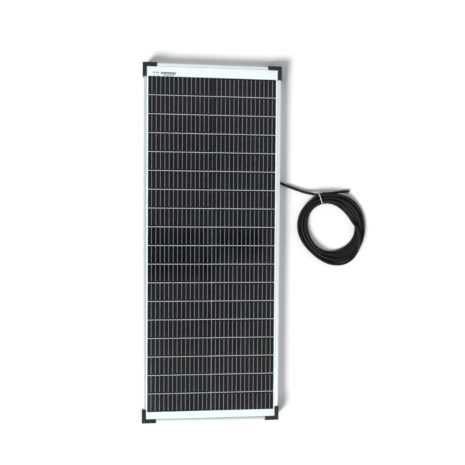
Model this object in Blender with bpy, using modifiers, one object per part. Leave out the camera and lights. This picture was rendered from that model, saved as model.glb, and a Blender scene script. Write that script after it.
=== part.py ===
"""Framed solar panel lying face up on its four corner guards, with junction box and coiled output lead.

The origin is on the ground under the middle of the frame. +X is to the right of the panel's face,
+Y runs along its long side towards the junction box, and +Z is the way the cells look.
"""

import math

import bmesh
import bpy
from mathutils import Matrix, Vector

# ---------------------------------------------------------------- driving dimensions, in metres
GAP = 0.0003            # between pieces that touch
SHEET_GAP = 0.0001      # between the laminated sheets

CELL_WIDTH = 0.182      # quarter-cut wafer, across the panel
CELL_HEIGHT = 0.0525    # and along it
CELLS_PER_STRING = 18
ROW_GAP = 0.001
STRING_GAP = 0.0007
RIBBONS = 4             # the ribbons that tie a string together here
RIBBON_WIDTH = 0.0010

FRAME_WIDTH = 0.393
FRAME_LENGTH = 1.026
FRAME_DEPTH = 0.025
TOP_MARGIN = 0.028      # white margin between lip and cells at the junction-box end
LIP_WIDTH = 0.0075
LIP_THICKNESS = 0.0015
WALL = 0.0014
FLANGE_WIDTH = 0.018
FLANGE_THICKNESS = 0.0015
CHAMBER_FLOOR = 0.007   # height of the hollow chamber's underside above the frame's back
CHAMBER_WIDTH = 0.009

GUARD_WALL = 0.0017
GUARD_ARM = 0.0385
GUARD_TOP_WIDTH = 0.012
GUARD_TOP = 0.0012
FOOT_HEIGHT = 0.0085    # the feet hold the frame clear of the output lead
FOOT_WIDTH = 0.020
GUARD_ROUND = 0.0008

GLASS = 0.0032
ENCAPSULANT = 0.00035
BACKSHEET = 0.00035
WAFER = 0.00018
RIBBON_THICKNESS = 0.0002
RIBBON_BITE = 0.00003   # how far a ribbon sinks into the wafers that it ties together
CELL_LAYER = 0.00085
SEAL = 0.0004
SEAL_GAP = 0.00015
SEAL_BACK = 0.0006
SEAL_REACH = 0.0063

MOUNT_HOLE_RADIUS = 0.004
MOUNT_HOLE_INSET = 0.0125
MOUNT_HOLE_Y = 0.2565
EARTH_HOLE_RADIUS = 0.002
EARTH_HOLE_Y = 0.440

BOX_WIDTH = 0.086
BOX_LENGTH = 0.066
BOX_Y = 0.415
BOX_WALL = 0.0018
LID_THICKNESS = 0.0029
LID_RECESS = 0.0012
PAD_THICKNESS = 0.0008
KNUCKLE_RADIUS = 0.0023
PIN_RADIUS = 0.0010
PIN_CLEARANCE = 0.0002
BOX_KNUCKLE = 0.008
LID_KNUCKLE = 0.0344
TAB_X = 0.028           # the lid's two latch tabs, one each side of the gland
TAB_WIDTH = 0.014
TAB_THICKNESS = 0.0012
TAB_HEIGHT = 0.0042
TERMINAL_INNER = 0.008
TERMINAL_OUTER = 0.030
TERMINAL_THICKNESS = 0.0012
TERMINAL_FRONT_Y = 0.398
SCREW_X = 0.0215
SCREW_Y = 0.4075
GLAND_FLANGE = 0.004
GLAND_THREAD = 0.008
GLAND_NECK_RADIUS = 0.0050
GLAND_THREAD_RADIUS = 0.0057
NUT_LENGTH = 0.0135

CABLE_DIAMETER = 0.008
CORE_RADIUS = 0.0016
COIL_CENTRE = Vector((0.360, 0.0465))
COIL_OUTER = 0.1065
COIL_INNER = 0.0705
COIL_HEIGHT = 0.016
TIE_ANGLE = math.radians(112)
TIE_WIDTH = 0.0025
TIE_THICKNESS = 0.0009

# ---------------------------------------------------------------- levels and places worked out from them
FRAME_BACK = FOOT_HEIGHT + GAP
FRAME_FRONT = FRAME_BACK + FRAME_DEPTH
HALF_WIDTH = FRAME_WIDTH / 2
HALF_LENGTH = FRAME_LENGTH / 2

LAMINATE_INSET = WALL + SEAL_GAP + SEAL_BACK + SEAL_GAP
GROOVE_TOP = FRAME_DEPTH - LIP_THICKNESS
GLASS_TOP = FRAME_FRONT - LIP_THICKNESS - SEAL - 2 * SEAL_GAP
GLASS_BACK = GLASS_TOP - GLASS
FRONT_FILM_BACK = GLASS_BACK - SHEET_GAP - ENCAPSULANT
CELL_TOP = FRONT_FILM_BACK - SHEET_GAP
CELL_LAYER_BACK = CELL_TOP - CELL_LAYER
REAR_FILM_TOP = CELL_LAYER_BACK - SHEET_GAP
REAR_FILM_BACK = REAR_FILM_TOP - ENCAPSULANT
SHEET_TOP = REAR_FILM_BACK - SHEET_GAP
SHEET_BACK = SHEET_TOP - BACKSHEET
GROOVE_HEIGHT = GLASS_TOP - SHEET_BACK + 2 * (SEAL + 2 * SEAL_GAP)
GROOVE_FLOOR = GROOVE_TOP - GROOVE_HEIGHT
CHAMBER_TOP = GROOVE_FLOOR - WALL

STRING_LENGTH = CELLS_PER_STRING * CELL_HEIGHT + (CELLS_PER_STRING - 1) * ROW_GAP
STRING_TOP = HALF_LENGTH - LIP_WIDTH - TOP_MARGIN
STRING_BOTTOM = STRING_TOP - STRING_LENGTH

RIBBON_TOP = CELL_TOP - WAFER + RIBBON_BITE
RIBBON_BACK = RIBBON_TOP - RIBBON_THICKNESS
BUS_TOP = RIBBON_BACK - 2 * SHEET_GAP
BUS_THICKNESS = 0.0003
BUS_WIDTH = 0.005
BUS_OFFSET = 0.0065     # from the end cell to the bus ribbon
COVER_THICKNESS = 0.00012
COVER_WIDTH = 0.012
LEAD_X = 0.013          # the two ribbons that go down into the junction box
LEAD_WIDTH = 0.006
LEAD_DROP_Y = 0.4235
SLOT_WIDTH = 0.044
SLOT_LENGTH = 0.005

PAD_TOP = SHEET_BACK - GAP
BOX_TOP = PAD_TOP - PAD_THICKNESS - GAP
BOX_CEILING = BOX_TOP - BOX_WALL
LID_BOTTOM = FRAME_BACK + 0.0008
LID_TOP = LID_BOTTOM + LID_THICKNESS
BOX_RIM = LID_TOP + GAP
BOX_FRONT_Y = BOX_Y - BOX_LENGTH / 2
BOX_REAR_Y = BOX_Y + BOX_LENGTH / 2
HINGE_Y = BOX_REAR_Y + KNUCKLE_RADIUS + GAP
HINGE_Z = LID_TOP

CABLE_RADIUS = CABLE_DIAMETER / 2
CABLE_Z = CABLE_RADIUS + 0.0002          # axis height of a cable that lies on the ground
GLAND_Z = 0.0187
GLAND_BORE = CABLE_RADIUS + 0.00035
GLAND_HEX = 0.0073
BOOT_LENGTH = 0.025
COIL_BOTTOM = TIE_THICKNESS + 2 * GAP    # the tie passes under the turns, clear of the ground

# ---------------------------------------------------------------- colours
ALUMINIUM = ("aluminium", (0.86, 0.87, 0.88), 0.38, 0.9)
BLACK_PLASTIC = ("guard_plastic", (0.045, 0.050, 0.050), 0.55, 0.0)
BOX_PLASTIC = ("box_plastic", (0.018, 0.018, 0.020), 0.45, 0.0)
RUBBER = ("seal_rubber", (0.020, 0.020, 0.020), 0.8, 0.0)
SILICONE = ("silicone", (0.85, 0.85, 0.84), 0.5, 0.0)
CLEAR_GLASS = ("glass", (0.92, 0.96, 0.95), 0.05, 0.0)
FILM = ("encapsulant", (0.93, 0.94, 0.92), 0.3, 0.0)
SILICON = ("cell", (0.020, 0.028, 0.036), 0.3, 0.2)
TINNED = ("ribbon", (0.66, 0.67, 0.66), 0.35, 0.9)
WHITE_SHEET = ("backsheet", (0.90, 0.92, 0.93), 0.6, 0.0)
LABEL = ("label", (0.80, 0.80, 0.79), 0.5, 0.0)
BRASS = ("brass", (0.72, 0.58, 0.30), 0.35, 0.9)
STEEL = ("steel", (0.55, 0.55, 0.56), 0.35, 1.0)
DIODE = ("diode", (0.03, 0.03, 0.035), 0.4, 0.0)
RED_CORE = ("core_red", (0.55, 0.03, 0.02), 0.45, 0.0)
BLACK_CORE = ("core_black", (0.02, 0.02, 0.02), 0.45, 0.0)
JACKET = ("jacket", (0.016, 0.017, 0.017), 0.55, 0.0)
NYLON = ("nylon", (0.86, 0.86, 0.83), 0.45, 0.0)

PARTS = None
CUTTERS = None


# ---------------------------------------------------------------- helpers
def clear_scene():
    for obj in list(bpy.data.objects):
        bpy.data.objects.remove(obj, do_unlink=True)


def make_collection(name):
    collection = bpy.data.collections.new(name)
    bpy.context.scene.collection.children.link(collection)
    return collection


def get_material(finish):
    name, colour, roughness, metallic = finish
    if name in bpy.data.materials:
        return bpy.data.materials[name]
    material = bpy.data.materials.new(name)
    material.use_nodes = True
    shader = material.node_tree.nodes["Principled BSDF"]
    shader.inputs["Base Color"].default_value = (*colour, 1.0)
    shader.inputs["Roughness"].default_value = roughness
    shader.inputs["Metallic"].default_value = metallic
    return material


def add_part(name, mesh, finish):
    """Link a mesh into the panel's collection as a named sub-part."""
    obj = bpy.data.objects.new(name, mesh)
    PARTS.objects.link(obj)
    mesh.name = name
    mesh.materials.clear()
    mesh.materials.append(get_material(finish))
    return obj


def add_tool(mesh):
    """Link a mesh as a hidden piece that cuts, or is joined to, a sub-part."""
    obj = bpy.data.objects.new("cutter", mesh)
    CUTTERS.objects.link(obj)
    obj.hide_render = True
    obj.display_type = "WIRE"
    return obj


def combine(obj, mesh, operation):
    """Cut obj with a closed mesh, or join the mesh to it."""
    modifier = obj.modifiers.new(operation.lower(), "BOOLEAN")
    modifier.operation = operation
    modifier.solver = "EXACT"
    modifier.object = add_tool(mesh)


def cut(obj, mesh):
    combine(obj, mesh, "DIFFERENCE")


def join(obj, mesh):
    combine(obj, mesh, "UNION")


def baked_mesh(obj):
    """The evaluated mesh of a curve or of an object with modifiers; the object itself goes."""
    graph = bpy.context.evaluated_depsgraph_get()
    mesh = bpy.data.meshes.new_from_object(obj.evaluated_get(graph))
    mesh.transform(obj.matrix_world)
    bpy.data.objects.remove(obj, do_unlink=True)
    work = bmesh.new()
    work.from_mesh(mesh)
    bmesh.ops.remove_doubles(work, verts=work.verts, dist=0.000005)
    work.to_mesh(mesh)
    work.free()
    return mesh


def boxes(*corner_pairs):
    """One mesh of separate upright boxes, each from a lowest to a highest corner."""
    work = bmesh.new()
    for low, high in corner_pairs:
        low, high = Vector(low), Vector(high)
        size = high - low
        place = Matrix.Translation((low + high) / 2) @ Matrix.Diagonal((*size, 1.0))
        bmesh.ops.create_cube(work, size=1.0, matrix=place)
    mesh = bpy.data.meshes.new("boxes")
    work.to_mesh(mesh)
    work.free()
    return mesh


def cylinders(places, radius, length, axis="Z", sides=16):
    """One mesh of separate cylinders centred at the given places."""
    turn = {"X": Matrix.Rotation(math.pi / 2, 4, "Y"), "Y": Matrix.Rotation(math.pi / 2, 4, "X"),
            "Z": Matrix.Identity(4)}[axis]
    work = bmesh.new()
    for place in places:
        bmesh.ops.create_cone(work, cap_ends=True, segments=sides, radius1=radius, radius2=radius,
                              depth=length, matrix=Matrix.Translation(place) @ turn)
    mesh = bpy.data.meshes.new("cylinders")
    work.to_mesh(mesh)
    work.free()
    return mesh


def prism(outlines, thickness):
    """A flat outline, with any further outlines as holes, given a thickness along its local Z."""
    curve = bpy.data.curves.new("outline", "CURVE")
    curve.dimensions = "2D"
    curve.fill_mode = "BOTH"
    curve.extrude = thickness / 2
    for outline in outlines:
        spline = curve.splines.new("POLY")
        spline.points.add(len(outline) - 1)
        spline.use_cyclic_u = True
        for point, (x, y) in zip(spline.points, outline):
            point.co = (x, y, 0.0, 1.0)
    obj = bpy.data.objects.new("outline", curve)
    CUTTERS.objects.link(obj)
    bpy.context.view_layer.update()
    return baked_mesh(obj)


def rectangle(low, high):
    return [(low[0], low[1]), (high[0], low[1]), (high[0], high[1]), (low[0], high[1])]


def smooth_path(route, spacing):
    """Points about a spacing apart on one smooth curve through the route's own points."""
    knots = [Vector(point) for point in route]
    knots = [2 * knots[0] - knots[1]] + knots + [2 * knots[-1] - knots[-2]]
    points = []
    for before, start, end, after in zip(knots, knots[1:], knots[2:], knots[3:]):
        steps = max(1, round((end - start).length / spacing))
        for step in range(steps):
            t = step / steps
            points.append(0.5 * (2 * start + (end - before) * t
                                 + (2 * before - 5 * start + 4 * end - after) * t ** 2
                                 + (3 * start - before - 3 * end + after) * t ** 3))
    return points + [knots[-2]]


def add_tube(name, points, radius, finish, resolution=2):
    """A round tube with closed ends along a list of points."""
    curve = bpy.data.curves.new(name, "CURVE")
    curve.dimensions = "3D"
    curve.bevel_depth = radius
    curve.bevel_resolution = resolution
    curve.use_fill_caps = True
    spline = curve.splines.new("POLY")
    spline.points.add(len(points) - 1)
    for knot, point in zip(spline.points, points):
        knot.co = (*point, 1.0)
    obj = bpy.data.objects.new(name, curve)
    PARTS.objects.link(obj)
    curve.materials.append(get_material(finish))
    return obj


def add_turned(name, profile, finish, steps, closed):
    """A profile of (radius, height) points turned about the object's own Z axis."""
    work = bmesh.new()
    corners = [work.verts.new((radius, 0.0, height)) for radius, height in profile]
    for first, second in zip(corners, corners[1:]):
        work.edges.new((first, second))
    if closed:
        work.edges.new((corners[-1], corners[0]))
    mesh = bpy.data.meshes.new(name)
    work.to_mesh(mesh)
    work.free()
    obj = add_part(name, mesh, finish)
    screw = obj.modifiers.new("turn", "SCREW")
    screw.steps = steps
    screw.render_steps = steps
    screw.use_merge_vertices = True
    screw.merge_threshold = 0.00001
    return obj


def along_y(obj, y, z=GLAND_Z):
    """Lay a turned piece along the lead's exit line, its own +Z towards -Y, from the given start."""
    obj.rotation_euler = (math.pi / 2, 0.0, 0.0)
    obj.location = (0.0, y, z)
    return obj


# ---------------------------------------------------------------- frame
SIDES = {"left": (0, HALF_WIDTH, HALF_LENGTH), "bottom": (1, HALF_LENGTH, HALF_WIDTH),
         "right": (2, HALF_WIDTH, HALF_LENGTH), "top": (3, HALF_LENGTH, HALF_WIDTH)}


def rail_outlines():
    """The extrusion's outline and its chamber: x runs inwards from the outer face, y upwards."""
    outline = [(0, 0), (FLANGE_WIDTH, 0), (FLANGE_WIDTH, FLANGE_THICKNESS), (WALL, FLANGE_THICKNESS),
               (WALL, CHAMBER_FLOOR), (CHAMBER_WIDTH, CHAMBER_FLOOR), (CHAMBER_WIDTH, GROOVE_FLOOR),
               (WALL, GROOVE_FLOOR), (WALL, GROOVE_TOP), (LIP_WIDTH, GROOVE_TOP),
               (LIP_WIDTH, FRAME_DEPTH), (0, FRAME_DEPTH)]
    chamber = rectangle((WALL, CHAMBER_FLOOR + WALL), (CHAMBER_WIDTH - WALL, CHAMBER_TOP))
    return [outline, chamber]


def seal_outline():
    """A U section that wraps the laminate's edge inside the rail's groove."""
    low, high = GROOVE_FLOOR + SEAL_GAP, GROOVE_TOP - SEAL_GAP
    outer, inner = WALL + SEAL_GAP, WALL + SEAL_GAP + SEAL_BACK
    return [[(outer, low), (SEAL_REACH, low), (SEAL_REACH, low + SEAL), (inner, low + SEAL),
             (inner, high - SEAL), (SEAL_REACH, high - SEAL), (SEAL_REACH, high), (outer, high)]]


def mitred(outlines, reach, half_length):
    """Extrude a rail section, with ends cut back at 45 degrees, outer face at -reach."""
    mesh = prism(outlines, 2 * half_length)
    for vertex in mesh.vertices:
        inset = vertex.co.x + GAP / 2
        vertex.co.z = math.copysign(half_length - inset, vertex.co.z)
        vertex.co.x -= reach
    return mesh


def add_side(name, quarter, mesh, finish):
    obj = add_part(name, mesh, finish)
    obj.location = (0.0, 0.0, FRAME_BACK)
    obj.rotation_euler = (math.pi / 2, 0.0, quarter * math.pi / 2)
    return obj


def build_rails():
    for side, (quarter, reach, half_length) in SIDES.items():
        rail = add_side(f"frame_rail_{side}", quarter, mitred(rail_outlines(), reach, half_length), ALUMINIUM)
        add_side(f"edge_seal_{side}", quarter, mitred(seal_outline(), reach, half_length), SILICONE)
        if side in ("left", "right"):
            x = math.copysign(HALF_WIDTH - MOUNT_HOLE_INSET, reach * (quarter - 1))
            depth = 4 * FLANGE_THICKNESS
            height = FRAME_BACK + FLANGE_THICKNESS / 2
            cut(rail, cylinders([(x, y, height) for y in (-MOUNT_HOLE_Y, MOUNT_HOLE_Y)],
                                MOUNT_HOLE_RADIUS, depth))
            cut(rail, cylinders([(x, y, height) for y in (-EARTH_HOLE_Y, EARTH_HOLE_Y)],
                                EARTH_HOLE_RADIUS, depth, sides=10))


def corner_outline(inset, width, arm):
    """An L around the frame's lower left corner, an inset inside the outer faces, at the origin."""
    start, inner, end = inset, inset + width, arm
    return [(start, start), (end, start), (end, inner), (inner, inner), (inner, end), (start, end)]


CORNERS = {"bottom_left": (0, -1, -1), "bottom_right": (1, 1, -1),
           "top_right": (2, 1, 1), "top_left": (3, -1, 1)}


def add_at_corner(name, mesh, finish, corner, height):
    quarter, side_x, side_y = CORNERS[corner]
    obj = add_part(name, mesh.copy(), finish)
    obj.location = (side_x * HALF_WIDTH, side_y * HALF_LENGTH, height)
    obj.rotation_euler = (0.0, 0.0, quarter * math.pi / 2)


def build_corner_keys():
    """L-shaped keys pressed into the chambers hold the mitred rails together."""
    width = CHAMBER_WIDTH - 2 * WALL - 2 * GAP
    low = CHAMBER_FLOOR + WALL + GAP
    high = CHAMBER_TOP - GAP
    mesh = prism([corner_outline(WALL + GAP, width, 0.032)], high - low)
    for corner in CORNERS:
        add_at_corner(f"corner_key_{corner}", mesh, STEEL, corner, FRAME_BACK + (low + high) / 2)


def build_guards():
    """Plastic guards wrap lip, wall and back at each corner, and each ends in a foot below."""
    top = FRAME_FRONT + GAP + GUARD_TOP
    outset = -(GUARD_WALL + GAP)
    upper = prism([corner_outline(outset, GUARD_TOP_WIDTH, GUARD_ARM)], top - FOOT_HEIGHT / 2)
    upper.transform(Matrix.Translation((0, 0, (top + FOOT_HEIGHT / 2) / 2)))
    guard = add_part("guard", upper, BLACK_PLASTIC)
    foot = prism([corner_outline(outset + 0.0001, FOOT_WIDTH, GUARD_ARM - 0.0002)], FOOT_HEIGHT)
    foot.transform(Matrix.Translation((0, 0, FOOT_HEIGHT / 2)))
    join(guard, foot)
    far = 0.1
    cut(guard, boxes(((-GAP, -GAP, FOOT_HEIGHT), (far, far, FRAME_FRONT + GAP))))
    rounding = guard.modifiers.new("rounding", "BEVEL")
    rounding.width = GUARD_ROUND
    rounding.segments = 2
    rounding.limit_method = "ANGLE"
    rounding.angle_limit = math.radians(60)
    rounding.use_clamp_overlap = True
    bpy.context.view_layer.update()
    mesh = baked_mesh(guard)
    for corner in CORNERS:
        add_at_corner(f"corner_guard_{corner}", mesh, BLACK_PLASTIC, corner, 0.0)


# ---------------------------------------------------------------- laminate
def sheet(name, top, thickness, finish):
    half_x = HALF_WIDTH - LAMINATE_INSET
    half_y = HALF_LENGTH - LAMINATE_INSET
    return add_part(name, boxes(((-half_x, -half_y, top - thickness), (half_x, half_y, top))), finish)


def slot_cutter():
    """Where the two ribbons pass from the laminate into the junction box."""
    y = LEAD_DROP_Y + BUS_THICKNESS / 2
    return boxes(((-SLOT_WIDTH / 2, y - SLOT_LENGTH / 2, LID_TOP + 0.006),
                  (SLOT_WIDTH / 2, y + SLOT_LENGTH / 2, CELL_LAYER_BACK + SHEET_GAP / 2)))


def build_sheets():
    sheet("front_glass", GLASS_TOP, GLASS, CLEAR_GLASS)
    sheet("encapsulant_front", GLASS_BACK - SHEET_GAP, ENCAPSULANT, FILM)
    cut(sheet("encapsulant_rear", REAR_FILM_TOP, ENCAPSULANT, FILM), slot_cutter())
    cut(sheet("backsheet", SHEET_TOP, BACKSHEET, WHITE_SHEET), slot_cutter())


def build_string(name, left_edge):
    """Wafers in a row, tied together by ribbons that run on past both end cells to the bus ribbons."""
    pitch = CELL_HEIGHT + ROW_GAP
    wafers = []
    for row in range(CELLS_PER_STRING):
        top = STRING_TOP - row * pitch
        wafers.append(((left_edge, top - CELL_HEIGHT, CELL_TOP - WAFER),
                       (left_edge + CELL_WIDTH, top, CELL_TOP)))
    string = add_part(name, boxes(*wafers), SILICON)
    reach = BUS_OFFSET + BUS_WIDTH
    ribbons = []
    for index in range(RIBBONS):
        centre = left_edge + CELL_WIDTH * (index + 0.5) / RIBBONS
        ribbons.append(((centre - RIBBON_WIDTH / 2, STRING_BOTTOM - reach, RIBBON_BACK),
                        (centre + RIBBON_WIDTH / 2, STRING_TOP + reach, RIBBON_TOP)))
    join(string, boxes(*ribbons))


def build_bus_ribbons():
    outer = STRING_GAP / 2 + CELL_WIDTH
    bus_back = BUS_TOP - BUS_THICKNESS
    low = STRING_BOTTOM - BUS_OFFSET - BUS_WIDTH
    add_part("cross_bus_ribbon", boxes(((-outer, low, bus_back), (outer, low + BUS_WIDTH, BUS_TOP))), TINNED)
    bus_y = STRING_TOP + BUS_OFFSET
    foot_z = BOX_CEILING - GAP - TERMINAL_THICKNESS - GAP
    foot_length = 0.0085
    nib = 0.0001        # each length of ribbon is a hair narrower than the last, so faces never coincide
    for name, side in (("bus_ribbon_positive", -1), ("bus_ribbon_negative", 1)):
        lead = sorted((side * (LEAD_X - LEAD_WIDTH / 2), side * (LEAD_X + LEAD_WIDTH / 2)))
        span = sorted((side * outer, side * (LEAD_X - LEAD_WIDTH / 2)))
        strip = boxes(((span[0], bus_y, bus_back), (span[1], bus_y + BUS_WIDTH, BUS_TOP)))
        bus = add_part(name, strip, TINNED)
        join(bus, boxes(((lead[0] + nib, LEAD_DROP_Y, bus_back + nib / 5),
                         (lead[1] - nib, bus_y + BUS_WIDTH / 2, BUS_TOP - nib / 5))))
        join(bus, boxes(((lead[0] + 2 * nib, LEAD_DROP_Y + nib / 10, foot_z - BUS_THICKNESS),
                         (lead[1] - 2 * nib, LEAD_DROP_Y + BUS_THICKNESS, BUS_TOP - nib / 2))))
        join(bus, boxes(((lead[0] + 3 * nib, LEAD_DROP_Y - foot_length, foot_z - BUS_THICKNESS + nib / 10),
                         (lead[1] - 3 * nib, LEAD_DROP_Y + BUS_THICKNESS / 2, foot_z))))
    for name, start in (("bus_cover_bottom", STRING_BOTTOM - BUS_OFFSET - BUS_WIDTH / 2 - COVER_WIDTH / 2),
                        ("bus_cover_top", bus_y + BUS_WIDTH / 2 - COVER_WIDTH / 2)):
        add_part(name, boxes(((-outer, start, CELL_TOP - COVER_THICKNESS),
                              (outer, start + COVER_WIDTH, CELL_TOP))), WHITE_SHEET)


def build_label():
    top, thickness = SHEET_BACK - GAP, 0.00015
    add_part("rating_label", boxes(((-0.150, 0.290, top - thickness), (-0.050, 0.350, top))), LABEL)


# ---------------------------------------------------------------- junction box
def build_box():
    half, pad_inset = BOX_WIDTH / 2, 0.003
    slab = boxes(((-half + pad_inset, BOX_FRONT_Y + pad_inset, PAD_TOP - PAD_THICKNESS),
                  (half - pad_inset, BOX_REAR_Y - pad_inset, PAD_TOP)))
    pad = add_part("box_adhesive", slab, SILICONE)
    cut(pad, slot_cutter())

    base = add_part("junction_box_base", boxes(((-half, BOX_FRONT_Y, BOX_RIM), (half, BOX_REAR_Y, BOX_TOP))),
                    BOX_PLASTIC)
    rounding = base.modifiers.new("rounding", "BEVEL")
    rounding.width = 0.0012
    rounding.segments = 2
    cut(base, boxes(((-half + BOX_WALL, BOX_FRONT_Y + BOX_WALL, BOX_RIM - 0.004),
                     (half - BOX_WALL, BOX_REAR_Y - BOX_WALL, BOX_CEILING))))
    cut(base, slot_cutter())
    cut(base, cylinders([(0.0, BOX_FRONT_Y, GLAND_Z)], GLAND_NECK_RADIUS + GAP, 2 * BOX_WALL + GAP,
                        axis="Y", sides=24))
    bridge_low, bridge_high, bridge_inset = BOX_RIM + 0.0002, BOX_RIM + 0.0016, 0.0001
    knuckle_x = LID_KNUCKLE / 2 + GAP + BOX_KNUCKLE / 2
    for x in (-knuckle_x, knuckle_x):
        join(base, boxes(((x - BOX_KNUCKLE / 2 + bridge_inset, BOX_REAR_Y - BOX_WALL / 2, bridge_low),
                          (x + BOX_KNUCKLE / 2 - bridge_inset, HINGE_Y + bridge_inset, bridge_high))))
        join(base, cylinders([(x, HINGE_Y, HINGE_Z)], KNUCKLE_RADIUS, BOX_KNUCKLE, axis="X"))
    cut(base, cylinders([(0.0, HINGE_Y, HINGE_Z)], PIN_RADIUS + PIN_CLEARANCE, BOX_WIDTH, axis="X"))

    pin_length = LID_KNUCKLE + 2 * (GAP + BOX_KNUCKLE)
    pin = add_part("lid_hinge_pin", cylinders([(0, 0, 0)], PIN_RADIUS, pin_length, axis="X"), STEEL)
    pin.location = (0.0, HINGE_Y, HINGE_Z)

    seal_out = (half - BOX_WALL - GAP, BOX_LENGTH / 2 - BOX_WALL - GAP)
    seal_width, seal_height = 0.0014, 0.0016
    seal_in = (seal_out[0] - seal_width, seal_out[1] - seal_width)
    ring = [rectangle((-seal_out[0], -seal_out[1]), seal_out), rectangle((-seal_in[0], -seal_in[1]), seal_in)]
    seal = add_part("lid_seal", prism(ring, seal_height), RUBBER)
    seal.location = (0.0, BOX_Y, BOX_RIM + seal_height / 2)


def build_lid():
    """The lid hangs on its hinge pin; its origin is on the hinge's axis."""
    half = BOX_WIDTH / 2
    front, rear, low = BOX_FRONT_Y - HINGE_Y, BOX_REAR_Y - HINGE_Y, LID_BOTTOM - HINGE_Z
    lid = add_part("junction_box_lid", boxes(((-half, front, low), (half, rear, 0.0))), BOX_PLASTIC)
    rounding = lid.modifiers.new("rounding", "BEVEL")
    rounding.width = 0.0010
    rounding.segments = 2
    inset, nib = 0.004, 0.0001
    place = Matrix.Translation((0.0, HINGE_Y, HINGE_Z))

    def placed(mesh):
        mesh.transform(place)
        return mesh

    cut(lid, placed(boxes(((-half + inset, front + inset, -LID_RECESS),
                           (half - inset, rear - inset, LID_THICKNESS)))))
    join(lid, placed(boxes(((-LID_KNUCKLE / 2 + nib, rear - 0.002, -KNUCKLE_RADIUS + 3 * nib),
                            (LID_KNUCKLE / 2 - nib, 0.0, -2 * nib)))))
    join(lid, placed(cylinders([(0, 0, 0)], KNUCKLE_RADIUS, LID_KNUCKLE, axis="X")))
    cut(lid, placed(cylinders([(0, 0, 0)], PIN_RADIUS + PIN_CLEARANCE, BOX_WIDTH, axis="X")))
    for x in (-TAB_X, TAB_X):
        edge = TAB_WIDTH / 2
        join(lid, placed(boxes(((x - edge, front - GAP - TAB_THICKNESS, low + TAB_THICKNESS),
                                (x + edge, front - GAP, TAB_HEIGHT)))))
        join(lid, placed(boxes(((x - edge + nib, front - GAP - TAB_THICKNESS / 2, low + TAB_THICKNESS + nib),
                                (x + edge - nib, front + 0.002, -4 * nib)))))
    lid.location = (0.0, HINGE_Y, HINGE_Z)


def build_terminals():
    top = BOX_CEILING - GAP
    shank, head, head_height = 0.0015, 0.0028, 0.0018
    under = -TERMINAL_THICKNESS - GAP
    for name, side in (("positive", -1), ("negative", 1)):
        span = sorted((side * TERMINAL_INNER, side * TERMINAL_OUTER))
        screw_at = (side * SCREW_X, SCREW_Y)
        plate = add_part(f"terminal_{name}", boxes(((span[0], TERMINAL_FRONT_Y, top - TERMINAL_THICKNESS),
                                                    (span[1], LEAD_DROP_Y - 2 * GAP, top))), BRASS)
        cut(plate, cylinders([(*screw_at, top)], shank + GAP, 4 * TERMINAL_THICKNESS))
        profile = [(0.0, 0.0), (shank, 0.0), (shank, under), (head, under),
                   (head, under - head_height), (0.0, under - head_height)]
        screw = add_turned(f"terminal_screw_{name}", profile, STEEL, 16, closed=False)
        screw.location = (*screw_at, top)


def build_diode():
    """Bypass diode between the two terminals, turned about X."""
    body, body_radius, lead_radius, end = 0.0045, 0.0024, 0.0006, 0.0115
    profile = [(0.0, end), (lead_radius, end), (lead_radius, body), (body_radius, body),
               (body_radius, -body), (lead_radius, -body), (lead_radius, -end), (0.0, -end)]
    diode = add_turned("bypass_diode", profile, DIODE, 14, closed=False)
    diode.rotation_euler = (0.0, math.pi / 2, 0.0)
    diode.location = (0.0, 0.410, BOX_CEILING - GAP - body_radius)


def build_gland():
    """Gland body through the box's wall, its seal and nut, and a tapered boot; all around the lead."""
    face = BOX_FRONT_Y - GAP
    flange = cylinders([(0, 0, 0)], GLAND_HEX, GLAND_FLANGE, axis="Y", sides=6)
    body = add_part("gland_body", flange, BOX_PLASTIC)
    body.location = (0.0, face - GLAND_FLANGE / 2, GLAND_Z)
    neck_middle = face - GLAND_FLANGE / 2 + (BOX_WALL - GLAND_THREAD) / 2
    neck_length = GLAND_FLANGE + GLAND_THREAD + BOX_WALL
    thread_middle = face - GLAND_FLANGE - GLAND_THREAD / 2 + GLAND_FLANGE / 8
    for join_or_cut, middle, radius, length in ((join, neck_middle, GLAND_NECK_RADIUS, neck_length),
                                                (join, thread_middle, GLAND_THREAD_RADIUS, GLAND_THREAD),
                                                (cut, face, GLAND_BORE, 4 * neck_length)):
        join_or_cut(body, cylinders([(0, middle, GLAND_Z)], radius, length, axis="Y", sides=24))

    nut_start = face - GLAND_FLANGE - GAP
    nut_bore, mouth, lip, shoulder = GLAND_THREAD_RADIUS + GAP, 0.0047, 0.0016, 0.0085
    nut_profile = [(nut_bore, 0.0), (nut_bore, NUT_LENGTH - lip), (mouth, NUT_LENGTH - lip),
                   (mouth, NUT_LENGTH), (0.0056, NUT_LENGTH), (0.0066, 0.0120), (GLAND_HEX, shoulder),
                   (GLAND_HEX, 0.0)]
    along_y(add_turned("gland_nut", nut_profile, BOX_PLASTIC, 12, closed=True), nut_start)
    seal_start, seal_length = nut_start - GLAND_THREAD - GAP, 0.0030
    seal_profile = [(GLAND_BORE, 0.0), (GLAND_BORE, seal_length), (GLAND_THREAD_RADIUS, seal_length),
                    (GLAND_THREAD_RADIUS, 0.0)]
    along_y(add_turned("gland_seal", seal_profile, RUBBER, 20, closed=True), seal_start)

    boot_start = nut_start - NUT_LENGTH - GAP
    boot_root, boot_tip, boot_collar = 0.0064, 0.0052, 0.0020
    boot_profile = [(GLAND_BORE, 0.0), (GLAND_BORE, BOOT_LENGTH), (boot_tip, BOOT_LENGTH),
                    (boot_root, boot_collar), (boot_root, 0.0)]
    along_y(add_turned("strain_relief_boot", boot_profile, RUBBER, 20, closed=True), boot_start)
    return boot_start - BOOT_LENGTH


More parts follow.
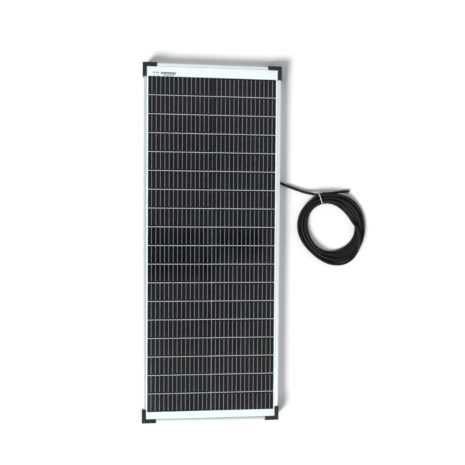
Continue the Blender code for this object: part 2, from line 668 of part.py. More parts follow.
def build_held_cable(exit_y):
    """The jacket inside the gland, and the two cores on to the terminals."""
    jacket_end = BOX_FRONT_Y - 0.003
    points = [(0.0, exit_y, GLAND_Z), (0.0, jacket_end, GLAND_Z)]
    add_tube("cable_jacket_in_gland", points, CABLE_RADIUS, JACKET, resolution=3)
    for name, side, finish in (("core_positive", -1, RED_CORE), ("core_negative", 1, BLACK_CORE)):
        route = [(side * 0.0019, jacket_end + GAP, GLAND_Z), (side * 0.0021, 0.3850, GLAND_Z),
                 (side * 0.0060, 0.3915, GLAND_Z - 0.0005), (side * 0.0120, 0.3970, GLAND_Z),
                 (side * 0.0150, 0.4030, GLAND_Z)]
        add_tube(name, smooth_path(route, 0.004), CORE_RADIUS, finish)


# ---------------------------------------------------------------- output lead
def build_lead(exit_y):
    """From the boot down to the ground, under the right rail and out to the coil."""
    route = [(0.0, exit_y - GAP, GLAND_Z), (0.0, 0.3160, 0.0172), (0.004, 0.2960, 0.0125),
             (0.016, 0.2770, 0.0075), (0.036, 0.2625, CABLE_Z + 0.0008), (0.062, 0.2500, CABLE_Z),
             (0.100, 0.2320, CABLE_Z), (0.150, 0.2070, CABLE_Z), (0.2035, 0.1815, CABLE_Z),
             (0.229, 0.1711, CABLE_Z), (0.264, 0.1590, CABLE_Z), (0.292, 0.1513, CABLE_Z),
             (0.3135, 0.1472, CABLE_Z)]
    add_tube("output_lead", smooth_path(route, 2.4 * CABLE_DIAMETER), CABLE_RADIUS, JACKET)


def build_coil():
    """One turned ring holds the space of all the turns."""
    corner = 0.004
    low, high = COIL_BOTTOM, COIL_BOTTOM + COIL_HEIGHT
    profile = [(COIL_INNER + corner, high), (COIL_OUTER - corner, high), (COIL_OUTER, high - corner),
               (COIL_OUTER, low + corner), (COIL_OUTER - corner, low), (COIL_INNER + corner, low),
               (COIL_INNER, low + corner), (COIL_INNER, high - corner)]
    coil = add_turned("lead_coil", profile, JACKET, 48, closed=True)
    coil.location = (*COIL_CENTRE, 0.0)


def build_tail():
    """The cut end lies on the ground beside the coil."""
    route = [(0.3775, 0.1565, CABLE_Z), (0.394, 0.1585, CABLE_Z), (0.4095, 0.1595, CABLE_Z)]
    add_tube("lead_tail", smooth_path(route, 2 * CABLE_DIAMETER), CABLE_RADIUS, JACKET)


def build_tie():
    """A nylon tie looped once around the coil's section."""
    inner_low = (COIL_INNER - GAP, COIL_BOTTOM - GAP)
    inner_high = (COIL_OUTER + GAP, COIL_BOTTOM + COIL_HEIGHT + GAP)
    outer_low = (inner_low[0] - TIE_THICKNESS, inner_low[1] - TIE_THICKNESS)
    outer_high = (inner_high[0] + TIE_THICKNESS, inner_high[1] + TIE_THICKNESS)
    loop = prism([rectangle(outer_low, outer_high), rectangle(inner_low, inner_high)], TIE_WIDTH)
    tie = add_part("coil_tie", loop, NYLON)
    tie.rotation_euler = (math.pi / 2, 0.0, TIE_ANGLE)
    tie.location = (*COIL_CENTRE, 0.0)


def build_panel():
    global PARTS, CUTTERS
    clear_scene()
    PARTS = make_collection("solar_panel")
    CUTTERS = make_collection("cutters")
    build_rails()
    build_corner_keys()
    build_guards()
    build_sheets()
    build_string("cell_string_left", -STRING_GAP / 2 - CELL_WIDTH)
    build_string("cell_string_right", STRING_GAP / 2)
    build_bus_ribbons()
    build_label()
    build_box()
    build_lid()
    build_terminals()
    build_diode()
    exit_y = build_gland()
    build_held_cable(exit_y)
    build_lead(exit_y)
    build_coil()
    build_tail()
    build_tie()
    for obj in PARTS.objects:
        if obj.type == "MESH":
            obj.data.shade_smooth()
            obj.data.set_sharp_from_angle(angle=math.radians(35))


build_panel()
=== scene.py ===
"""Looks of the framed solar panel: studio view, coiled lead, fine surface detail.

Metres, +Z up. The panel lies face up on its corner guards, its lead coiled on the floor at its right.
"""

import math

import bmesh
import bpy
import numpy as np
from mathutils import Matrix, Vector


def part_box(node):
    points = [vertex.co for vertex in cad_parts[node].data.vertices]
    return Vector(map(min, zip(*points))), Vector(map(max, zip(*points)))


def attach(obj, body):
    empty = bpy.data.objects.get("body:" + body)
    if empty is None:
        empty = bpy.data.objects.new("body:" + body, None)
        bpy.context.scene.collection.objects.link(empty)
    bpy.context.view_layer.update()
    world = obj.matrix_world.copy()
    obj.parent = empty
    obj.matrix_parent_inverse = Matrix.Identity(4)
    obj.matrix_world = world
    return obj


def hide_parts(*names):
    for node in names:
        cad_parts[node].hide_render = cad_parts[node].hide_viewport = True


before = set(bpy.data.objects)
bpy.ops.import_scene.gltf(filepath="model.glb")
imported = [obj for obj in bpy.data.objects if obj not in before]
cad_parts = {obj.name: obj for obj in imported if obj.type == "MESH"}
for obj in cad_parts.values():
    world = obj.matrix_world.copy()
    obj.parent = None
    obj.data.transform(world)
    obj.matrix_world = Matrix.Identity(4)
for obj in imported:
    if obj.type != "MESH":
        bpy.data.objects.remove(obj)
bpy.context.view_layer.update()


def low(node):
    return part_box(node)[0]


def high(node):
    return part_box(node)[1]


# ---------------------------------------------------------------- camera
CAMERA_PLACE = (-0.06913, 0.07247, 1.46126)
CAMERA_TURN = (-0.02680, -0.08937, 0.00735)
CAMERA_LENS = 38.411    # mm on a 36 mm sensor


def add_camera():
    data = bpy.data.cameras.new("camera")
    data.lens = CAMERA_LENS
    data.sensor_width = 36.0
    data.clip_start, data.clip_end = 0.05, 20.0
    camera = bpy.data.objects.new("camera", data)
    camera.location = CAMERA_PLACE
    camera.rotation_euler = CAMERA_TURN
    bpy.context.collection.objects.link(camera)
    bpy.context.scene.camera = camera


add_camera()

# ---------------------------------------------------------------- the lead's route
CORD = 0.008                        # diameter
REST = CORD / 2 + 0.0002            # height of its axis on the floor
STEP = 0.0045                       # spacing of the points along it
TURNS = 6
COIL = Vector((0.3587, 0.0463))     # middle of the ring
TIE_TURN = math.radians(112)        # where the tie is on it
TIE_WIDTH = 0.0017
TIE_THICKNESS = 0.0008
CROSS_START, CROSS_RUN = 82, 95     # degrees round from the tie, where the turns change slots
CROSS_LIFT = 0.012                  # of the last turn, where it crosses the others
ARRIVAL_LIFT = 0.0075               # of the first turn, which comes down from the top of the bundle
TAIL_ROOM = 0.0065                  # how far the turns keep in, beside the tail
# the hole and the outline aren't round: mean radius, then (lobes, height, direction in degrees)
HOLE = (0.0715, ((1, 0.0062, 132), (1, 0.0010, 0), (2, 0.0055, 135), (2, 0.0010, 90), (3, 0.0026, 0)))
OUTLINE = (0.1055, ((1, 0.0039, 48), (1, 0.0010, 0), (2, 0.0041, 116), (2, 0.0005, 90), (3, 0.0047, 56)))
# from the gland, under the right rail and up onto the ring at the tie
LEAD_OUT = [(0.0, 0.3383, 0.0187), (0.0, 0.3160, 0.0172), (0.004, 0.2960, 0.0125), (0.016, 0.2770, 0.0075),
            (0.036, 0.2625, 0.0050), (0.062, 0.2500, REST), (0.100, 0.2320, REST), (0.150, 0.2070, REST),
            (0.2035, 0.1815, REST), (0.229, 0.1711, REST), (0.264, 0.1590, 0.0046), (0.286, 0.1528, 0.0070),
            (0.3090, 0.1484, 0.0132), (0.3310, 0.1468, 0.0168)]
TAIL = [(0.3260, 0.1462, 0.0075), (0.3555, 0.1517, REST), (0.3860, 0.1576, REST), (0.4120, 0.1592, REST)]


def smooth(x):
    x = min(max(x, 0.0), 1.0)
    return x * x * (3 - 2 * x)


def lobed(shape, angle):
    mean, lobes = shape
    return mean + sum(height * math.cos(count * (angle - math.radians(way)))
                      for count, height, way in lobes)


def along(points, step):
    """Points a step apart on a smooth curve through the given ones."""
    points = [Vector(p) for p in points]
    points = [2 * points[0] - points[1]] + points + [2 * points[-1] - points[-2]]
    fine = []
    for a, b, c, d in zip(points, points[1:], points[2:], points[3:]):
        for i in range(40):
            t = i / 40
            fine.append(0.5 * ((2 * b) + (c - a) * t + (2 * a - 5 * b + 4 * c - d) * t * t
                               + (3 * b - a - 3 * c + d) * t ** 3))
    fine.append(points[-2])
    fine = np.array(fine)
    runs = np.r_[0, np.cumsum(np.linalg.norm(np.diff(fine, axis=0), axis=1))]
    even = np.linspace(0, runs[-1], max(2, round(runs[-1] / step) + 1))
    return np.stack([np.interp(even, runs, fine[:, i]) for i in range(3)], 1)


def coil_point(turn):
    """Turns run clockwise from the tie. Each lies in a slot, six across the ring: they move in by one slot
    at the right of the ring, where the last turn crosses over them from the inside to the outside."""
    count = min(int(turn), TURNS - 1)
    way = (turn - count) * 360
    angle = TIE_TURN - math.radians(way)
    drift = smooth((way - CROSS_START) / CROSS_RUN)
    inner, outer = lobed(HOLE, angle) + CORD / 2, lobed(OUTLINE, angle) - CORD / 2
    beside_tail = 1 - smooth(abs((way + 180) % 360 - 180 - 25) / 60)
    outer -= TAIL_ROOM * beside_tail
    if count < TURNS - 1:
        slot = TURNS - 1 - count - drift
        lift = 0.0 if count else ARRIVAL_LIFT * (1 - smooth((way - 22) / 60))
    else:
        slot = (TURNS - 1) * drift
        lift = CROSS_LIFT * math.sin(math.pi * drift)
    pitch = (outer - inner) / (TURNS - 1)
    layer = 0.5 - 0.5 * math.cos(math.pi * slot)
    height = REST + lift + layer * math.sqrt(max(0.0, CORD ** 2 - pitch ** 2))
    radius = inner + slot * pitch
    return COIL.x + radius * math.cos(angle), COIL.y + radius * math.sin(angle), height


ROUNDS, QUIET_ROUNDS = 260, 60      # of settling, and the last of them without weight or pull
DROP = 0.00004                      # how far a strand may fall in one round
PULL = 0.03                         # share of its way back to the route that a strand goes in one round


def settle(points, held):
    """Presses strands apart where they meet and lets them down on each other and on the floor."""
    start, gap = points.copy(), CORD + 0.0002
    index = np.arange(len(points))
    free = ~held
    for step in range(ROUNDS):
        if step % 6 == 0:
            square = np.einsum("ij,ij->i", points, points)
            near = square[:, None] + square[None] - 2 * points @ points.T < (1.5 * CORD) ** 2
            a, b = np.nonzero(near & (index[:, None] < index[None] - 6))
        apart = points[b] - points[a]
        length = np.linalg.norm(apart, axis=1) + 1e-9
        push = np.clip(gap - length, 0, None)[:, None] * apart / length[:, None]
        move = np.zeros_like(points)
        np.add.at(move, a, -0.35 * push)
        np.add.at(move, b, 0.35 * push)
        points = points + move * free[:, None]
        if step < ROUNDS - QUIET_ROUNDS:
            points[free, 2] -= DROP
            points[free, :2] += PULL * (start[free, :2] - points[free, :2])
        shift = points - start
        for _ in range(3):
            shift[1:-1] += 0.25 * (shift[:-2] - 2 * shift[1:-1] + shift[2:]) * free[1:-1, None]
        points = start + shift
        points[:, 2] = np.maximum(points[:, 2], REST + under_tie(points))
    return points


def under_tie(points):
    """Room below the bundle for the tie."""
    spot = np.array([COIL.x + 0.099 * math.cos(TIE_TURN), COIL.y + 0.099 * math.sin(TIE_TURN)])
    away = np.linalg.norm(points[:, :2] - spot, axis=1)
    return (TIE_THICKNESS + 0.0003) * np.clip(1.6 - away / 0.020, 0, 1)


TIE_X = 0.338                       # the lead is held as far as the ring, and its last points too
HELD_END = 8


def lead_line():
    # a sample each hundredth of a turn, thinned, from just past the lead's arrival to just before the tail
    ring = [coil_point(turn) for turn in np.arange(0.075, TURNS - 0.03, 0.01)]
    route = LEAD_OUT + ring[2:-2:6] + TAIL
    points = along(route, STEP)
    held = np.arange(len(points)) < np.argmax(points[:, 0] > TIE_X)
    held[-HELD_END:] = True
    return settle(points, held)


line = lead_line()


# ---------------------------------------------------------------- cells
ROWS = 18
CELL_OVER = 0.0014                  # how far the wafers reach past the CAD string on the outer side
CELL_WIDTH = high("cell_string_left").x - low("cell_string_left").x + CELL_OVER
WAFER_THICKNESS = 0.00018
STRING_LEAN = 0.0004                # how far each string leans in from the bottom row to the top row
STRING_LOW, STRING_HIGH = -0.4853, 0.4785
ROW_PITCH = 0.0536
ROW_GAP = 0.0012
RIBBONS = 14
RIBBON_PITCH = 0.01240
RIBBON_OUT = 0.0006                 # the ribbons' middle, outward from the wafer's
RIBBON_WIDTH = 0.00100
RIBBON_THICKNESS = 0.00006
RIBBON_STOP = 0.0040                # how far short of the cell's other edge a ribbon ends
FINGER_PITCH = 0.00135
LIP = 0.0075                        # width of the rails' front lip


# ---------------------------------------------------------------- materials
def material(name):
    made = bpy.data.materials.new(name)
    made.use_nodes = True
    tree = made.node_tree
    tree.nodes.clear()
    out = tree.nodes.new("ShaderNodeOutputMaterial")
    return made, tree, out


def node(tree, kind, settings=(), **inputs):
    """One node; an input is a number, a colour, a node or its output socket. i2 is the input number 2."""
    made = tree.nodes.new("ShaderNode" + kind)
    for key, value in dict(settings).items():
        setattr(made, key, value)
    for key, value in inputs.items():
        by_number = key[0] == "i" and key[1:].isdigit()
        socket = made.inputs[int(key[1:]) if by_number else key.replace("_", " ")]
        if isinstance(value, bpy.types.NodeSocket):
            tree.links.new(value, socket)
        elif isinstance(value, bpy.types.Node):
            tree.links.new(value.outputs[0], socket)
        else:
            socket.default_value = value
    return made


def maths(tree, operation, a, b=0.0):
    return node(tree, "Math", {"operation": operation}, i0=a, i1=b)


def rgba(colour, factor=1.0):
    """A colour made darker or lighter, with its alpha."""
    return (colour[0] * factor, colour[1] * factor, colour[2] * factor, 1.0)


def blend(tree, factor, a, b):
    return node(tree, "MixRGB", {}, Fac=factor, Color1=a, Color2=b)


def ramp(tree, value, low_end, high_end, out_low=0.0, out_high=1.0):
    """out_low up to the low end, out_high from the high end, and an even slope between them."""
    return node(tree, "MapRange", {"clamp": True},
                i0=value, i1=low_end, i2=high_end, i3=out_low, i4=out_high)


def places(tree):
    return tree.nodes.new("ShaderNodeTexCoord").outputs["Object"]


def finish_material(tree, out, colour, rough, bump=None, bump_depth=0.0, **more):
    inputs = dict(Base_Color=colour, Roughness=rough, **more)
    shader = node(tree, "BsdfPrincipled", {}, **inputs)
    if bump is not None:
        raised = node(tree, "Bump", {}, Strength=1.0, Distance=bump_depth, Height=bump)
        tree.links.new(raised.outputs[0], shader.inputs["Normal"])
    tree.links.new(shader.outputs[0], out.inputs[0])
    return shader


DUST = (0.42, 0.40, 0.37, 1.0)
ROUGH_VARY = 0.10                   # how far a surface's roughness wanders


def surface(name, colour, rough=0.5, vary=0.12, patch=18.0, grain=900.0, depth=0.00004,
            worn=None, worn_rough=0.4, stretch=(1, 1, 1), dust=0.0, **more):
    """Colour in soft patches, fine grain in roughness and bump, and edges rubbed to another colour."""
    made, tree, out = material(name)
    place = places(tree)
    if stretch != (1, 1, 1):
        place = node(tree, "Mapping", {}, Vector=place, Scale=stretch).outputs[0]
    patches = node(tree, "TexNoise", {}, Vector=place, Scale=patch, Detail=4.0, Roughness=0.6)
    fine = node(tree, "TexNoise", {}, Vector=place, Scale=grain, Detail=3.0, Roughness=0.65)
    tone = ramp(tree, patches, 0.3, 0.7)
    hue = blend(tree, tone, rgba(colour, 1 - vary), rgba(colour, 1 + vary))
    speckle = maths(tree, "MULTIPLY", ramp(tree, fine, 0.35, 0.7), 0.25)
    hue = blend(tree, speckle, hue, rgba(colour, 1 - 2 * vary))
    gloss = ramp(tree, fine, 0.3, 0.7, rough - ROUGH_VARY / 2, rough + ROUGH_VARY / 2)
    gloss = maths(tree, "ADD", gloss, ramp(tree, patches, 0.3, 0.7, -ROUGH_VARY / 2, ROUGH_VARY / 2))
    if dust:
        specks = node(tree, "TexNoise", {}, Vector=place, Scale=grain / 5, Detail=5.0, Roughness=0.8)
        hue = blend(tree, maths(tree, "MULTIPLY", ramp(tree, specks, 0.55, 0.75), dust), hue, DUST)
    if worn:
        edge = node(tree, "Attribute", {"attribute_name": "worn"})
        scuff = node(tree, "TexNoise", {}, Vector=place, Scale=140.0, Detail=6.0, Roughness=0.75)
        rubbed = maths(tree, "MULTIPLY", edge.outputs["Fac"], ramp(tree, scuff, 0.42, 0.62))
        hue = blend(tree, rubbed, hue, rgba(worn))
        gloss = node(tree, "Mix", {"data_type": "FLOAT"}, i0=rubbed, i2=gloss, i3=worn_rough)
    finish_material(tree, out, hue, gloss, fine, depth, **more)
    return made


JACKET = surface("cord_jacket", (0.0105, 0.0115, 0.0115), rough=0.62, vary=0.25, patch=60, grain=1400,
                 depth=0.00002, dust=0.05, Specular_IOR_Level=0.2)
RAIL_LONG, RAIL_CROSS = [
    surface(f"anodised_rail_{way}", (0.83, 0.87, 0.885), rough=0.40, vary=0.03, patch=60, grain=2400,
            depth=0.000008, stretch=stretch, worn=(0.93, 0.94, 0.95), worn_rough=0.25, Metallic=0.35)
    for way, stretch in (("long", (1, 0.03, 1)), ("cross", (0.03, 1, 1)))]
GUARD = surface("guard_moulding", (0.019, 0.0215, 0.0215), rough=0.62, vary=0.14, grain=950, depth=0.00006,
                worn=(0.05, 0.054, 0.054), worn_rough=0.5, Specular_IOR_Level=0.3)
BOX = surface("box_moulding", (0.026, 0.026, 0.028), rough=0.50, vary=0.15, patch=45, grain=2600,
              depth=0.00003, worn=(0.085, 0.085, 0.088), dust=0.12)
RUBBER = surface("boot_rubber", (0.014, 0.014, 0.014), rough=0.70, vary=0.2, patch=80, grain=2200,
                 depth=0.00002, dust=0.15)
CAST = surface("key_casting", (0.52, 0.53, 0.54), rough=0.45, vary=0.08, patch=70, grain=1800,
               depth=0.00003, worn=(0.75, 0.76, 0.77), Metallic=1.0)
ZINC = surface("zinc_plate", (0.60, 0.61, 0.62), rough=0.32, vary=0.10, patch=220, grain=4000,
               depth=0.00001, worn=(0.8, 0.8, 0.8), Metallic=1.0)
BRASS = surface("terminal_brass", (0.70, 0.52, 0.24), rough=0.34, vary=0.12, patch=160, grain=3000,
                depth=0.00001, worn=(0.85, 0.70, 0.42), Metallic=1.0)
TIN = surface("tinned_ribbon", (0.58, 0.58, 0.56), rough=0.38, vary=0.08, patch=90, grain=3500,
              depth=0.000006, Metallic=0.6)
# grey gasket at the lips' inner edge, partly painted shade: its grey also stands in for the lip's shade line
# on the glass
GASKET_AND_SHADE_LINE = surface("lip_gasket_and_shade_line", (0.27, 0.275, 0.28), rough=0.6, vary=0.08, patch=120, grain=1500,
                 depth=0.00003, worn=(0.30, 0.31, 0.31), worn_rough=0.5)
SEALANT = surface("cured_sealant", (0.78, 0.78, 0.76), rough=0.45, vary=0.05, patch=120, grain=900,
                  depth=0.00006)
EPOXY = surface("diode_epoxy", (0.022, 0.022, 0.025), rough=0.42, vary=0.1, patch=150, grain=5000,
                depth=0.00001, worn=(0.06, 0.06, 0.06))
RED = surface("red_core", (0.52, 0.025, 0.018), rough=0.36, vary=0.08, patch=200, grain=4000,
              depth=0.00001)
DARK = surface("black_core", (0.018, 0.018, 0.018), rough=0.36, vary=0.15, patch=200, grain=4000,
               depth=0.00001)
COPPER = surface("bare_strands", (0.78, 0.40, 0.24), rough=0.30, vary=0.15, patch=900, grain=6000,
                 depth=0.00001, Metallic=1.0)
NYLON = surface("tie_nylon", (0.86, 0.86, 0.83), rough=0.38, vary=0.04, patch=250, grain=2500,
                depth=0.00001)
COVER = surface("bus_cover", (0.87, 0.91, 0.92), rough=0.55, vary=0.015, patch=40, grain=1500,
                depth=0.00001)
INK = surface("serial_ink", (0.018, 0.019, 0.020), rough=0.6, vary=0.2, patch=400, grain=4000,
              depth=0.000004)


def film(name):
    """White rear film: faint relief where the ribbons and wafers press through."""
    made, tree, out = material(name)
    place = places(tree)
    split = node(tree, "SeparateXYZ", {}, Vector=place)
    soft = node(tree, "TexNoise", {}, Vector=place, Scale=12.0, Detail=4.0)
    grain = node(tree, "TexNoise", {}, Vector=place, Scale=1100.0, Detail=2.0)
    hue = blend(tree, ramp(tree, soft, 0.3, 0.7), (0.83, 0.865, 0.88, 1), (0.86, 0.89, 0.90, 1))
    lines = maths(tree, "PINGPONG", split.outputs["X"], RIBBON_PITCH / 2)
    ridge = ramp(tree, lines, 0.0, 0.0016)
    rows = maths(tree, "PINGPONG", split.outputs["Y"], ROW_PITCH / 2)
    ridge = maths(tree, "MULTIPLY", ridge, ramp(tree, rows, 0.0, 0.0014))
    relief = maths(tree, "ADD", maths(tree, "MULTIPLY", ridge, 0.5), maths(tree, "MULTIPLY", grain, 0.12))
    rough = ramp(tree, grain, 0.3, 0.7, 0.42, 0.58)
    finish_material(tree, out, hue, rough, relief, 0.00009)
    return made


def wafer_look():
    """Textured silicon under its blue-black coating, with printed fingers across the ribbons."""
    made, tree, out = material("wafer")
    place = places(tree)
    split = node(tree, "SeparateXYZ", {}, Vector=place)
    rise = maths(tree, "ADD", split.outputs["Y"], ROW_GAP / 2 - STRING_LOW)
    row = maths(tree, "FLOOR", maths(tree, "DIVIDE", rise, ROW_PITCH))
    rise = maths(tree, "MODULO", rise, ROW_PITCH)
    side = maths(tree, "SIGN", split.outputs["X"])
    key = node(tree, "CombineXYZ", {}, X=row, Y=side)
    each = node(tree, "TexWhiteNoise", {"noise_dimensions": "3D"}, Vector=key)
    cloud = node(tree, "TexNoise", {}, Vector=place, Scale=16.0, Detail=3.0)
    tone = maths(tree, "ADD", maths(tree, "MULTIPLY", each.outputs["Value"], 0.6),
                 maths(tree, "MULTIPLY", cloud, 0.5))
    hue = blend(tree, tone, (0.0012, 0.0028, 0.0060, 1), (0.0028, 0.0044, 0.0078, 1))
    fingers = maths(tree, "PINGPONG", rise, FINGER_PITCH / 2)
    finger = ramp(tree, fingers, 0.00002, 0.00012, 1.0, 0.0)
    hue = blend(tree, finger, hue, (0.014, 0.014, 0.0138, 1))
    crystal = node(tree, "TexNoise", {}, Vector=place, Scale=5200.0, Detail=1.0)
    finish_material(tree, out, hue, ramp(tree, crystal, 0.3, 0.7, 0.30, 0.42), crystal, 0.000004,
                    Specular_IOR_Level=0.08)
    return made


def glass_look():
    """Clear glass: mirror by its angle, and the cells seen straight through it."""
    made, tree, out = material("glazing")
    place = places(tree)
    smear = node(tree, "TexNoise", {}, Vector=place, Scale=7.0, Detail=5.0, Roughness=0.6)
    dimple = node(tree, "TexNoise", {}, Vector=place, Scale=650.0, Detail=1.0)
    raised = node(tree, "Bump", {}, Strength=1.0, Distance=0.00001, Height=dimple)
    clear = node(tree, "BsdfTransparent", {}, Color=(0.97, 0.985, 0.98, 1))
    shine = node(tree, "BsdfGlossy", {}, Color=(1, 1, 1, 1), Normal=raised,
                 Roughness=ramp(tree, smear, 0.3, 0.7, 0.08, 0.13))
    angle = node(tree, "Fresnel", {}, IOR=1.45, Normal=raised)
    front = maths(tree, "SUBTRACT", 1.0, tree.nodes.new("ShaderNodeNewGeometry").outputs["Backfacing"])
    mixed = node(tree, "MixShader", {}, i0=maths(tree, "MULTIPLY", angle, front), i1=clear, i2=shine)
    tree.links.new(mixed.outputs[0], out.inputs[0])
    return made


LABEL_ROWS = 9.0


def label_look():
    """A blank rating label: ruled table of plain bars, no lettering."""
    made, tree, out = material("rating_film")
    place = places(tree)
    split = node(tree, "SeparateXYZ", {}, Vector=place)
    low_corner, high_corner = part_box("rating_label")
    across = ramp(tree, split.outputs["X"], low_corner.x, high_corner.x)
    up = ramp(tree, split.outputs["Y"], low_corner.y, high_corner.y)

    def off(value, middle, reach):
        """1 further than reach from the middle."""
        distance = maths(tree, "ABSOLUTE", maths(tree, "SUBTRACT", value, middle))
        return maths(tree, "GREATER_THAN", distance, reach)

    lines = maths(tree, "MULTIPLY", up, LABEL_ROWS)
    in_row, row = maths(tree, "FRACT", lines), maths(tree, "FLOOR", lines)
    bar = maths(tree, "MULTIPLY", maths(tree, "GREATER_THAN", in_row, 0.38),
                maths(tree, "LESS_THAN", in_row, 0.62))
    run = node(tree, "TexWhiteNoise", {"noise_dimensions": "1D"}, W=row)
    reach = ramp(tree, run.outputs["Value"], 0.0, 1.0, 0.52, 0.90)
    bar = maths(tree, "MULTIPLY", bar, maths(tree, "LESS_THAN", across, reach))
    bar = maths(tree, "MULTIPLY", bar, maths(tree, "GREATER_THAN", across, 0.08))
    bar = maths(tree, "MULTIPLY", bar, off(across, 0.40, 0.03))
    rim = maths(tree, "MAXIMUM", off(across, 0.5, 0.475), off(up, 0.5, 0.465))
    mark = maths(tree, "MAXIMUM", bar, rim)
    grain = node(tree, "TexNoise", {}, Vector=place, Scale=900.0, Detail=3.0)
    paper = blend(tree, ramp(tree, grain, 0.3, 0.7), (0.76, 0.76, 0.75, 1), (0.82, 0.82, 0.81, 1))
    hue = blend(tree, mark, paper, (0.10, 0.10, 0.11, 1))
    finish_material(tree, out, hue, ramp(tree, grain, 0.3, 0.7, 0.35, 0.5), grain, 0.00001)
    return made


# ---------------------------------------------------------------- shapes
def mesh_of(work, name):
    mesh = bpy.data.meshes.new(name)
    work.to_mesh(mesh)
    work.free()
    return mesh


def cad_mesh(node_name):
    """A CAD node's shape as a new mesh, with its flat faces whole again."""
    work = bmesh.new()
    work.from_mesh(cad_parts[node_name].data)
    bmesh.ops.remove_doubles(work, verts=work.verts, dist=0.000002)
    bmesh.ops.dissolve_limit(work, angle_limit=math.radians(0.5), verts=work.verts, edges=work.edges)
    return mesh_of(work, node_name + "_fine")


def soften(mesh, width, segments=2, angle=42):
    """Rounds the sharp edges, and marks them as worn."""
    work = bmesh.new()
    work.from_mesh(mesh)
    worn = work.faces.layers.float.new("worn")
    sharp = [e for e in work.edges if len(e.link_faces) == 2 and e.calc_face_angle(0) > math.radians(angle)]
    made = bmesh.ops.bevel(work, geom=sharp, offset=width, offset_type="OFFSET", segments=segments,
                           profile=0.5, affect="EDGES", clamp_overlap=True)
    for face in made["faces"]:
        face[worn] = 1.0
    work.to_mesh(mesh)
    work.free()
    return mesh


def boxes(*corner_pairs):
    """One mesh of blocks, each from two opposite corners."""
    work = bmesh.new()
    for corner_a, corner_b in corner_pairs:
        corner_a, corner_b = Vector(corner_a), Vector(corner_b)
        middle = Matrix.Translation((corner_a + corner_b) / 2)
        bmesh.ops.create_cube(work, size=1.0, matrix=middle @ Matrix.Diagonal((*(corner_b - corner_a), 1.0)))
    return mesh_of(work, "boxes")


AXES = {"X": Matrix.Rotation(math.pi / 2, 4, "Y"), "Y": Matrix.Rotation(-math.pi / 2, 4, "X"),
        "Z": Matrix()}


def lathe(profile, sides=56, axis="Z", at=(0, 0, 0), flutes=0, flute_depth=0.0):
    """Turns a profile of (radius, distance along the axis) round the axis. A third value is how much of
    the flutes' depth is cut there."""
    work = bmesh.new()
    rings = []
    for point in profile:
        radius, distance = point[0], point[1]
        share = point[2] if len(point) > 2 else 0.0
        if radius < 1e-7:
            rings.append([work.verts.new((0, 0, distance))])
            continue
        ring = []
        for i in range(sides):
            turn = 2 * math.pi * i / sides
            dip = share * flute_depth * max(0.0, math.cos(flutes * turn)) ** 0.5 if flutes else 0.0
            cut = radius - dip
            ring.append(work.verts.new((cut * math.cos(turn), cut * math.sin(turn), distance)))
        rings.append(ring)
    for a, b in zip(rings, rings[1:] + rings[:1]):
        if len(a) == 1 and len(b) == 1:
            continue
        for i in range(sides):
            j = (i + 1) % sides
            corners = [a[i % len(a)], a[j % len(a)], b[j % len(b)], b[i % len(b)]]
            work.faces.new(list(dict.fromkeys(corners)))
    bmesh.ops.recalc_face_normals(work, faces=work.faces)
    mesh = mesh_of(work, "turned")
    mesh.transform(Matrix.Translation(at) @ AXES[axis])
    return mesh


def tube(points, radius, sides=20):
    """A closed tube round a line of points."""
    points = [Vector(p) for p in points]
    work = bmesh.new()
    rings = []
    side = None
    for i, point in enumerate(points):
        ahead = (points[min(i + 1, len(points) - 1)] - points[max(i - 1, 0)]).normalized()
        side = ahead.orthogonal() if side is None else side - side.dot(ahead) * ahead
        side.normalize()
        other = ahead.cross(side)
        rings.append([work.verts.new(point + radius * (math.cos(2 * math.pi * k / sides) * side
                                                       + math.sin(2 * math.pi * k / sides) * other))
                      for k in range(sides)])
    for a, b in zip(rings, rings[1:]):
        for k in range(sides):
            m = (k + 1) % sides
            work.faces.new((a[k], a[m], b[m], b[k]))
    work.faces.new(rings[0])
    work.faces.new(rings[-1])
    bmesh.ops.recalc_face_normals(work, faces=work.faces)
    return mesh_of(work, "tube")


def together(*meshes):
    """Several meshes as one."""
    work = bmesh.new()
    for mesh in meshes:
        work.from_mesh(mesh)
    return mesh_of(work, "together")


def solid(mesh, tool, operation="DIFFERENCE"):
    """The mesh cut by, or joined to, another."""
    objects = [bpy.data.objects.new("work", m) for m in (mesh, tool)]
    for obj in objects:
        bpy.context.collection.objects.link(obj)
    change = objects[0].modifiers.new("cut", "BOOLEAN")
    change.object, change.operation, change.solver = objects[1], operation, "EXACT"
    graph = bpy.context.evaluated_depsgraph_get()
    made = bpy.data.meshes.new_from_object(objects[0].evaluated_get(graph))
    for obj in objects:
        bpy.data.objects.remove(obj)
    work = bmesh.new()
    work.from_mesh(made)
    bmesh.ops.dissolve_limit(work, angle_limit=math.radians(0.2), verts=work.verts, edges=work.edges)
    work.to_mesh(made)
    work.free()
    return made


def piece(name, mesh, look, replaced=(), body="panel"):
    """A visible piece that rides a body, in place of CAD nodes."""
    mesh.name = name
    mesh.materials.clear()
    mesh.materials.append(look)
    mesh.shade_smooth()
    mesh.set_sharp_from_angle(angle=math.radians(38))
    obj = bpy.data.objects.new(name, mesh)
    bpy.context.collection.objects.link(obj)
    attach(obj, body)
    if replaced:
        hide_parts(*([replaced] if isinstance(replaced, str) else replaced))
    return obj


# ---------------------------------------------------------------- the lead
def add_cord(points):
    """The lead as a round curve with flat ends."""
    data = bpy.data.curves.new("lead", "CURVE")
    data.dimensions = "3D"
    data.resolution_u = 3
    data.bevel_depth = CORD / 2
    data.bevel_resolution = 5
    data.use_fill_caps = True
    every = points[::2] if len(points) % 2 else np.vstack([points[:-1:2], points[-1:]])
    spline = data.splines.new("NURBS")
    spline.points.add(len(every) - 1)
    spline.points.foreach_set("co", np.c_[every, np.ones(len(every))].astype(np.float32).ravel())
    spline.order_u = 4
    spline.use_endpoint_u = True
    lead = bpy.data.objects.new("lead", data)
    bpy.context.collection.objects.link(lead)
    data.materials.append(JACKET)
    return lead


